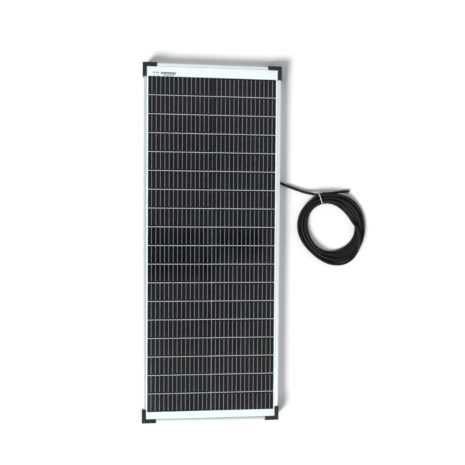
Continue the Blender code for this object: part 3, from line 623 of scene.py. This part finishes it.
def add_tie(points):
    """A thin nylon tie drawn round the bundle's real section."""
    out = Vector((math.cos(TIE_TURN), math.sin(TIE_TURN), 0))
    along_ring = Vector((-out.y, out.x, 0))
    centre = Vector((COIL.x, COIL.y, 0))
    hits = []
    for a, b in zip(points, points[1:]):
        p, q = Vector(a) - centre, Vector(b) - centre
        da, db = p.dot(along_ring), q.dot(along_ring)
        if da * db <= 0 and da != db and p.dot(out) > 0:
            x = p.lerp(q, da / (da - db))
            hits.append((x.dot(out), x.z))
    reach = CORD / 2 + 0.0002
    sample = [(r + reach * math.cos(t), h + reach * math.sin(t))
              for r, h in hits for t in np.linspace(0, 2 * math.pi, 24, endpoint=False)]
    hull = convex([(r, max(h, TIE_THICKNESS + 0.0002)) for r, h in sample])
    middle = Vector((sum(p[0] for p in hull) / len(hull), sum(p[1] for p in hull) / len(hull)))
    work = bmesh.new()
    rings = []
    for share in (0, 1):
        for edge in (-1, 1):
            ring = []
            for i, p in enumerate(hull):
                before, after = Vector(hull[i - 1]), Vector(hull[(i + 1) % len(hull)])
                run = (after - before).normalized()
                normal = Vector((run.y, -run.x))
                if normal.dot(Vector(p) - middle) < 0:
                    normal = -normal
                r, h = Vector(p) + normal * TIE_THICKNESS * share
                ring.append(work.verts.new(centre + out * r + Vector((0, 0, max(h, 0.0001)))
                                           + along_ring * edge * TIE_WIDTH / 2))
            rings.append(ring)
    inner_a, inner_b, outer_a, outer_b = rings
    for a, b in ((inner_a, inner_b), (inner_b, outer_b), (outer_b, outer_a), (outer_a, inner_a)):
        for i in range(len(hull)):
            j = (i + 1) % len(hull)
            work.faces.new((a[i], a[j], b[j], b[i]))
    bmesh.ops.recalc_face_normals(work, faces=work.faces)
    band = soften(mesh_of(work, "tie"), 0.0002)
    r, h = min(hull, key=lambda p: p[0])
    spot = centre + out * (r - 0.0010) + Vector((0, 0, middle.y - 0.0015))
    head = boxes(((-0.0012, -0.0018, -0.0024), (0.0012, 0.0018, 0.0024)))
    head.transform(Matrix.Translation(spot) @ Matrix.Rotation(TIE_TURN, 4, "Z"))
    return piece("tie", together(band, soften(head, 0.0004)), NYLON, "coil_tie")


def convex(points):
    """Corners of the smallest convex outline, in order."""
    points = sorted(set((round(x, 7), round(y, 7)) for x, y in points))

    def half(run):
        corners = []
        for p in run:
            while len(corners) > 1 and ((corners[-1][0] - corners[-2][0]) * (p[1] - corners[-2][1])
                                        - (corners[-1][1] - corners[-2][1]) * (p[0] - corners[-2][0])) <= 0:
                corners.pop()
            corners.append(p)
        return corners[:-1]

    return half(points) + half(points[::-1])


def add_cut_end(points):
    """Two insulated cores, cut flush, in the lead's free end."""
    end, ahead = Vector(points[-1]), (Vector(points[-1]) - Vector(points[-4])).normalized()
    side = ahead.cross(Vector((0, 0, 1))).normalized()
    made = []
    for name, way, look, colour in (("positive", -1, RED, "red"), ("negative", 1, DARK, "black")):
        start = end + side * way * 0.00185
        core = tube([start - ahead * 0.002, start + ahead * 0.0005], 0.0016, 24)
        made.append(piece(f"end_core_{name}", soften(core, 0.0001, 1, 60), look))
        wire = tube([start - ahead * 0.001, start + ahead * 0.0008], 0.0009, 18)
        made.append(piece(f"end_wire_{name}", wire, COPPER))
    return made


lead = add_cord(line)
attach(lead, "panel")
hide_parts("output_lead", "lead_coil", "lead_tail")
cut_end = add_cut_end(line)
tie = add_tie(line)


# ---------------------------------------------------------------- studio
FLOOR_SIZE = 12.0
KEY_STRENGTH, KEY_ANGLE = 3.8, math.radians(20)
KEY_WAY = (1.05, 1.12, -1.10)       # the way its light travels
FILL_STRENGTH, FILL_ANGLE = 1.5, math.radians(40)
FILL_WAY = (-0.35, 0.45, 1.0)
WALL, CEILING, HORIZON = 1.45, (0.32, 0.30), 0.93


def add_floor():
    """Plain white paint, clear from below so that the underside can be seen."""
    made, tree, out = material("floor_paint")
    place = places(tree)
    cloud = node(tree, "TexNoise", {}, Vector=place, Scale=3.0, Detail=2.0)
    hue = blend(tree, cloud, (0.90, 0.90, 0.90, 1), (0.93, 0.93, 0.93, 1))
    paint = node(tree, "BsdfDiffuse", {}, Color=hue)
    clear = node(tree, "BsdfTransparent", {})
    back = tree.nodes.new("ShaderNodeNewGeometry")
    both = node(tree, "MixShader", {}, i0=back.outputs["Backfacing"], i1=paint, i2=clear)
    tree.links.new(both.outputs[0], out.inputs[0])
    data = bpy.data.meshes.new("floor")
    half = FLOOR_SIZE / 2
    corners = [(-half, -half, 0), (half, -half, 0), (half, half, 0), (-half, half, 0)]
    data.from_pydata(corners, [], [(0, 1, 2, 3)])
    data.materials.append(made)
    floor = bpy.data.objects.new("floor", data)
    bpy.context.collection.objects.link(floor)
    return floor


def add_key(name, shadows, laminate):
    """The key light. It has a shadowless twin for the laminate, which the rails' lip would shade too much."""
    sun = bpy.data.lights.new(name, "SUN")
    sun.energy = KEY_STRENGTH
    sun.angle = KEY_ANGLE
    sun.use_shadow = shadows
    lamp = bpy.data.objects.new(name, sun)
    lamp.rotation_euler = Vector(KEY_WAY).to_track_quat("-Z", "Y").to_euler()
    bpy.context.collection.objects.link(lamp)
    group = bpy.data.collections.new(name + "_lit")
    for obj in laminate:
        group.objects.link(obj)
    if shadows:
        for entry in group.collection_objects:
            entry.light_linking.link_state = "EXCLUDE"
    lamp.light_linking.receiver_collection = group


def add_under_fill(floor):
    """Even light on the underside, for whoever looks up through the floor."""
    sun = bpy.data.lights.new("under_fill", "SUN")
    sun.energy = FILL_STRENGTH
    sun.angle = FILL_ANGLE
    lamp = bpy.data.objects.new("under_fill", sun)
    lamp.rotation_euler = Vector(FILL_WAY).to_track_quat("-Z", "Y").to_euler()
    bpy.context.collection.objects.link(lamp)
    for part in ("receiver", "blocker"):
        group = bpy.data.collections.new(f"under_fill_{part}")
        group.objects.link(floor)
        group.collection_objects[0].light_linking.link_state = "EXCLUDE"
        setattr(lamp.light_linking, part + "_collection", group)


def patch_of_dark(tree, value, middle, half, fade):
    """1 as far as half from the middle, and 0 a fade further out."""
    off = maths(tree, "ABSOLUTE", maths(tree, "SUBTRACT", value, middle))
    return ramp(tree, off, half, half + fade, 1.0, 0.0)


def add_light(laminate):
    """The key lights and the room round the panel, which the glass mirrors."""
    add_key("key", True, laminate)
    add_key("key_under_glass", False, laminate)
    world = bpy.data.worlds.new("studio")
    world.use_nodes = True
    tree = world.node_tree
    back = tree.nodes["Background"]
    split = node(tree, "SeparateXYZ", {}, Vector=tree.nodes.new("ShaderNodeTexCoord").outputs["Generated"])
    # two dark patches overhead, where the room has no light: one over the left, one over both sides
    across, down = split.outputs["X"], split.outputs["Y"]
    left = ramp(tree, across, 0.085, 0.125, 1.0, 0.0)
    near = maths(tree, "MULTIPLY", patch_of_dark(tree, down, -0.133, 0.032, 0.014), left)
    sides = maths(tree, "MAXIMUM", ramp(tree, across, -0.03, 0.02, 0.85, 0.0), ramp(tree, across, 0.06, 0.09))
    far = maths(tree, "MULTIPLY", patch_of_dark(tree, down, -0.038, 0.040, 0.022), sides)
    open_ceiling = maths(tree, "SUBTRACT", 1.0, maths(tree, "MAXIMUM", near, far))
    # the walls are brighter than the ceiling, and nearly white at the horizon
    up = ramp(tree, split.outputs["Z"], 0.85, 0.93)
    share = blend(tree, up, (WALL, WALL, WALL, 1), open_ceiling)
    bright = maths(tree, "MULTIPLY", ramp(tree, down, -0.12, -0.36, *CEILING), share)
    horizon = ramp(tree, split.outputs["Z"], 0.42, 0.12)
    bright = node(tree, "Mix", {"data_type": "FLOAT"}, i0=horizon, i2=bright, i3=HORIZON)
    tree.links.new(bright.outputs[0], back.inputs["Strength"])
    back.inputs["Color"].default_value = (0.97, 0.99, 1.0, 1.0)
    bpy.context.scene.world = world
    bpy.context.scene.view_settings.view_transform = "Standard"


floor = add_floor()

# ---------------------------------------------------------------- frame
def add_rails():
    for side in ("left", "right", "top", "bottom"):
        look = RAIL_LONG if side in ("left", "right") else RAIL_CROSS
        mesh = soften(cad_mesh(f"frame_rail_{side}"), 0.0004)
        piece(f"rail_{side}", mesh, look, f"frame_rail_{side}")


def add_guards():
    """Corner guards with a shallow thumb notch in the end of each arm."""
    radius, bite, inset = 0.0040, 0.0013, 0.0066
    for end in ("bottom", "top"):
        for side in ("left", "right"):
            name = f"corner_guard_{end}_{side}"
            a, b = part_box(name)
            outer_x, inner_x = (a.x, b.x) if side == "left" else (b.x, a.x)
            outer_y, inner_y = (a.y, b.y) if end == "bottom" else (b.y, a.y)
            way_x, way_y = math.copysign(1, inner_x - outer_x), math.copysign(1, inner_y - outer_y)
            spots = [(inner_x + way_x * (radius - bite), outer_y + way_y * inset),
                     (outer_x + way_x * inset, inner_y + way_y * (radius - bite))]
            top = high("frame_rail_left").z
            round_tool = [(0, -0.001), (radius, -0.001), (radius, 0.004), (0, 0.004)]
            tool = together(*[lathe(round_tool, 40, "Z", (x, y, top)) for x, y in spots])
            mesh = soften(solid(cad_mesh(name), tool), 0.0003, angle=50)
            piece(f"guard_{end}_{side}", mesh, GUARD, name)


# ---------------------------------------------------------------- laminate
def add_glazing():
    a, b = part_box("front_glass")
    mesh = soften(boxes(((a.x, a.y, low("encapsulant_front").z), b)), 0.0004)
    return piece("glazing", mesh, GLASS, ("front_glass", "encapsulant_front"))


def add_bead_and_shade_line():
    """A thin line of grey gasket between the rails' lips and the glass. Its grey is partly painted shade: it
    stands in for the shade line that the lip would cast on the glass, which the laminate's shadowless key
    leaves out.
    """
    x, y, wide = high("frame_rail_right").x - LIP, high("frame_rail_top").y - LIP, 0.0010
    base, top = high("front_glass").z - 0.0001, high("front_glass").z + 0.0006
    ring = solid(boxes(((-x - 0.0002, -y - 0.0002, base), (x + 0.0002, y + 0.0002, top))),
                 boxes(((wide - x, wide - y, base - 0.001), (x - wide, y - wide, top + 0.001))))
    return piece("lip_gasket_and_shade_line", soften(ring, 0.0002), GASKET_AND_SHADE_LINE)


def add_strings():
    """Wafers, and ribbons that run over each one and dive behind its neighbour. The two strings point
    opposite ways, so that their currents meet at the far end."""
    top, under = high("cell_string_left").z, high("cell_string_left").z - WAFER_THICKNESS
    upper, lower = top + 0.00005, under - 0.00004
    made = []
    for side in ("left", "right"):
        name = f"cell_string_{side}"
        way = 1 if side == "left" else -1
        x0 = low(name).x - (CELL_OVER if side == "left" else 0.0)
        wafers, ribbons = [], []
        for row in range(ROWS):
            y0 = STRING_LOW + row * ROW_PITCH
            y1 = y0 + ROW_PITCH - ROW_GAP
            lean = way * (0.00030 - STRING_LEAN * (1 - row / (ROWS - 1)))
            wafers.append(((x0 + lean, y0, under), (x0 + lean + CELL_WIDTH, y1, top)))
            start, edge = (y0 + RIBBON_STOP, y1) if way > 0 else (y1 - RIBBON_STOP, y0)
            line_y = [start, edge - way * 0.0002, edge + way * 0.0009, edge + way * 0.0030]
            line_z = [upper, upper, lower, lower]
            for k in range(RIBBONS):
                x = x0 + lean + CELL_WIDTH / 2 - way * RIBBON_OUT + (k - (RIBBONS - 1) / 2) * RIBBON_PITCH
                ribbons.append((x, line_y, line_z))
        made.append(piece(f"wafers_{side}", boxes(*wafers), WAFER, name))
        work = bmesh.new()
        for x, line_y, line_z in ribbons:
            rings = [[work.verts.new((x + dx * RIBBON_WIDTH / 2, y, z + dz * RIBBON_THICKNESS / 2))
                      for dx, dz in ((-1, -1), (1, -1), (1, 1), (-1, 1))] for y, z in zip(line_y, line_z)]
            for a, b in zip(rings, rings[1:]):
                for k in range(4):
                    m = (k + 1) % 4
                    work.faces.new((a[k], a[m], b[m], b[k]))
            work.faces.new(rings[0])
            work.faces.new(rings[-1])
        bmesh.ops.recalc_face_normals(work, faces=work.faces)
        made.append(piece(f"ribbons_{side}", mesh_of(work, "ribbons"), TIN))
    return made


def add_rear():
    """White encapsulant close behind the wafers, and the rear film under it."""
    x, rim = high("cell_string_right").x + CELL_OVER + 0.001, 0.0010
    a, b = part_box("encapsulant_rear")
    slab = solid(boxes((a, b)), rear_slot())
    pad_top = high("cell_string_left").z - 0.00026
    pad = boxes(((-x, STRING_LOW - rim, b.z - 0.0001), (x, STRING_HIGH + rim, pad_top)))
    mesh = soften(cad_mesh("backsheet"), 0.0001)
    return [piece("rear_encapsulant", together(slab, pad), COVER, "encapsulant_rear"),
            piece("rear_film", mesh, FILM, "backsheet")]


BUS_EXIT_Y = 0.42365                # where the bus ribbons pass through the rear film


def rear_slot():
    half_x, half_y = 0.022, 0.0025
    return boxes(((-half_x, BUS_EXIT_Y - half_y, 0.02), (half_x, BUS_EXIT_Y + half_y, 0.03)))


def add_covers():
    """White strips that hide the bus ribbons, one with two rows of plain ticks where a serial would be."""
    top = high("bus_cover_top")
    bottom = low("bus_cover_bottom")
    x = high("cell_string_right").x + CELL_OVER
    base, thick = top.z - 0.00002, 0.00006
    strips = [("cover_top", STRING_HIGH + 0.0006, top.y, "bus_cover_top"),
              ("cover_bottom", bottom.y, STRING_LOW - 0.0006, "bus_cover_bottom")]
    made = [piece(name, boxes(((-x, y0, base), (x, y1, base + thick))), COVER, cad)
            for name, y0, y1, cad in strips]
    ink, z = [], base + thick
    left, y = -0.1708, STRING_HIGH

    def tick(x, y0, wide, tall):
        ink.append(((x, y + y0, z), (x + wide, y + y0 + tall, z + 0.00002)))

    for k in range(26):
        x, dense = left + 0.0025 * k, k > 8
        if k not in (3, 7, 8):
            tick(x, 0.0084 - 0.0006 * (k % 3), 0.0021 if dense else 0.0017, 0.0028 + 0.0009 * (k * 5 % 3))
            if dense:
                tick(x + 0.0002 * (k % 2), 0.0048, 0.0014 + 0.0003 * (k % 3), 0.0024 + 0.0004 * (k % 2))
        if k in (1, 2, 5, 6) or 11 < k < 24:
            tick(x + 0.0002, 0.0011, 0.0015 + 0.0004 * (k % 2), 0.0021)
    return [*made, piece("serial_ticks", boxes(*ink), INK)]


# ---------------------------------------------------------------- back
GLAND_Z = LEAD_OUT[0][2]            # height of the gland's axis


def add_box():
    base = cad_mesh("junction_box_base")
    a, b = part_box("junction_box_base")
    rib_low, rib_high = low("junction_box_lid").z + 0.0040, b.z - 0.0022
    out, half = 0.0008, 0.0006
    for side in (a.x, b.x):
        for k in range(5):
            y = 0.3930 + k * 0.0110
            rib = boxes(((side - out, y - half, rib_low), (side + out, y + half, rib_high)))
            base = solid(base, rib, "UNION")
    piece("box_base", soften(base, 0.00025, angle=50), BOX, "junction_box_base")

    # a groove round the lid's face, and finger ridges across it
    z = low("junction_box_lid").z
    outer = boxes(((-0.0375, 0.3875, z - 0.001), (0.0375, 0.4425, z + 0.0005)))
    inner = boxes(((-0.0363, 0.3887, z - 0.002), (0.0363, 0.4413, z + 0.002)))
    lid = solid(cad_mesh("junction_box_lid"), solid(outer, inner))
    for k in range(5):
        y = 0.0024 * k
        grip = boxes(((-0.012, 0.3915 + y, z - 0.0004), (0.012, 0.3925 + y, z + 0.0004)))
        lid = solid(lid, grip, "UNION")
    piece("box_lid", soften(lid, 0.00025, angle=50), BOX, "junction_box_lid",
          body="junction_lid")


def add_gland():
    z = GLAND_Z
    start, end = high("gland_body").y, low("gland_body").y
    face = low("junction_box_base").y
    across = [(0, 0), (0.0073, 0), (0.0073, 0.004), (0, 0.004)]
    hexagon = soften(lathe(across, 6, "Y", (0, face - 0.0043, z)), 0.0004)
    thread = [(0.0050, start), (0.0050, face - 0.0010), (0.0050, face - 0.0040)]
    turns, pitch = 9, 0.0009
    for k in range(turns):
        y = face - 0.0044 - k * pitch
        thread += [(0.0057, y), (0.0053, y - pitch / 2)]
    bore = 0.00435
    body = lathe([(bore, start), *thread, (0.0054, end), (bore, end)], 64, "Y", (0, 0, z))
    drill = [(0, face - 0.02), (bore, face - 0.02), (bore, face + 0.02), (0, face + 0.02)]
    hole = lathe(drill, 64, "Y", (0, 0, z))
    piece("gland_body_fine", together(solid(hexagon, hole), body), BOX, "gland_body")

    a, b = low("gland_nut").y, high("gland_nut").y
    nut = [(0.0060, b), (0.0070, b, 0.3), (0.0073, b - 0.0006, 1.0), (0.0073, b - 0.0080, 1.0),
           (0.0066, b - 0.0112, 0.6), (0.0062, a + 0.0014, 0.2), (0.0056, a), (0.0047, a),
           (0.0047, a + 0.0016), (0.0060, a + 0.0016)]
    piece("gland_nut_fine", lathe(nut, 144, "Y", (0, 0, z), 12, 0.0006), BOX, "gland_nut")

    a, b = low("strain_relief_boot").y, high("strain_relief_boot").y
    boot = [(bore, b), (0.0064, b), (0.0064, b - 0.0022)]
    segments = 6
    step = (b - a - 0.0032) / segments
    for k in range(segments):
        y = b - 0.0026 - k * step
        radius = 0.0062 - 0.0010 * k / segments
        boot += [(radius - 0.0011, y), (radius - 0.0011, y - 0.30 * step), (radius, y - 0.42 * step),
                 (radius - 0.0001, y - 0.92 * step)]
    boot += [(0.0050, a + 0.0003), (0.0048, a), (bore, a)]
    boot = soften(lathe(boot, 56, "Y", (0, 0, z)), 0.0001, 1, 55)
    piece("boot", boot, RUBBER, "strain_relief_boot")
    a, b = low("cable_jacket_in_gland").y, high("cable_jacket_in_gland").y
    jacket = lathe([(0, a), (CORD / 2, a), (CORD / 2, b), (0, b)], 48, "Y", (0, 0, z))
    piece("jacket_in_gland", soften(jacket, 0.0003), JACKET, "cable_jacket_in_gland")


def add_terminals():
    """Plates, screws, and the lead's two cores with their bare strands drawn under the screw heads."""
    z, jacket_end = GLAND_Z, high("cable_jacket_in_gland").y
    for name, side, look, colour in (("positive", -1, RED, "red"), ("negative", 1, DARK, "black")):
        plate = soften(cad_mesh(f"terminal_{name}"), 0.00015)
        piece(f"terminal_plate_{name}", plate, BRASS, f"terminal_{name}")
        c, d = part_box(f"terminal_screw_{name}")
        x, y, under, top = (c.x + d.x) / 2, (c.y + d.y) / 2, c.z, d.z
        head = top - 0.0015
        screw = lathe([(0, under), (0.0019, under), (0.0025, under + 0.0003), (0.0028, under + 0.0008),
                       (0.0028, head), (0.0015, head), (0.0015, top), (0, top)], 48, "Z", (x, y, 0))
        deep, reach, half = under + 0.0008, 0.0017, 0.0003
        clear, above = half + 0.00001, under - 0.001
        slots = boxes(((x - reach, y - half, above), (x + reach, y + half, deep)),
                      ((x - half, y - reach, above), (x + half, y - clear, deep)),
                      ((x - half, y + clear, above), (x + half, y + reach, deep)))
        screw = soften(solid(screw, slots), 0.0001, 1, 50)
        piece(f"screw_{name}", screw, ZINC, f"terminal_screw_{name}")
        route = [(side * 0.0019, jacket_end + 0.0003, z), (side * 0.0021, 0.3850, z),
                 (side * 0.0060, 0.3915, z - 0.0005), (side * 0.0120, 0.3970, z), (side * 0.0142, 0.4010, z)]
        core = tube(along(route, 0.0006), 0.0016, 24)
        piece(f"core_{name}_insulation", core, look, f"core_{name}")
        strands = tube(along([(side * 0.0140, 0.4006, z), (side * 0.0162, 0.4046, z + 0.0004),
                              (side * 0.0178, 0.4066, z + 0.0012)], 0.0006), 0.0010, 14)
        piece(f"core_{name}_strands", strands, COPPER)


def add_diode():
    a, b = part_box("bypass_diode")
    y, z, r = (a.y + b.y) / 2, (a.z + b.z) / 2, (b.z - a.z) / 2
    half = 0.0045
    body = soften(lathe([(0, -half), (r, -half), (r, half), (0, half)], 48, "X", (0, y, z)), 0.0004)
    piece("diode_body", body, EPOXY, "bypass_diode")
    under, over = r - 0.0002, r + 0.00004
    band = lathe([(under, 0.0024), (over, 0.0024), (over, 0.0034), (under, 0.0034)], 48, "X", (0, y, z))
    piece("diode_band", band, NYLON)
    routes = [[(s * 0.0044, y, z), (s * 0.0090, y, z), (s * 0.0113, y, z + 0.0009)] for s in (-1, 1)]
    legs = together(*[tube(along(route, 0.0006), 0.0006, 12) for route in routes])
    piece("diode_legs", legs, TIN)


def add_carried_looks():
    """Materials for the nodes that keep their CAD shape."""
    looks = {"corner_key": CAST, "edge_seal": SEALANT, "box_adhesive": SEALANT, "cross_bus": TIN,
             "bus_ribbon": TIN, "rating_label": LABEL, "lid_hinge_pin": ZINC, "lid_seal": RUBBER,
             "gland_seal": RUBBER}
    for name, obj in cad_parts.items():
        for start, look in looks.items():
            if name.startswith(start):
                obj.data.materials.clear()
                obj.data.materials.append(look)


GLASS, WAFER, FILM, LABEL = glass_look(), wafer_look(), film("rear_film"), label_look()
add_rails()
add_guards()
laminate = [add_glazing(), add_bead_and_shade_line(), *add_strings(), *add_rear(), *add_covers()]
add_box()
add_gland()
add_terminals()
add_diode()
add_carried_looks()
add_light(laminate)
add_under_fill(floor)
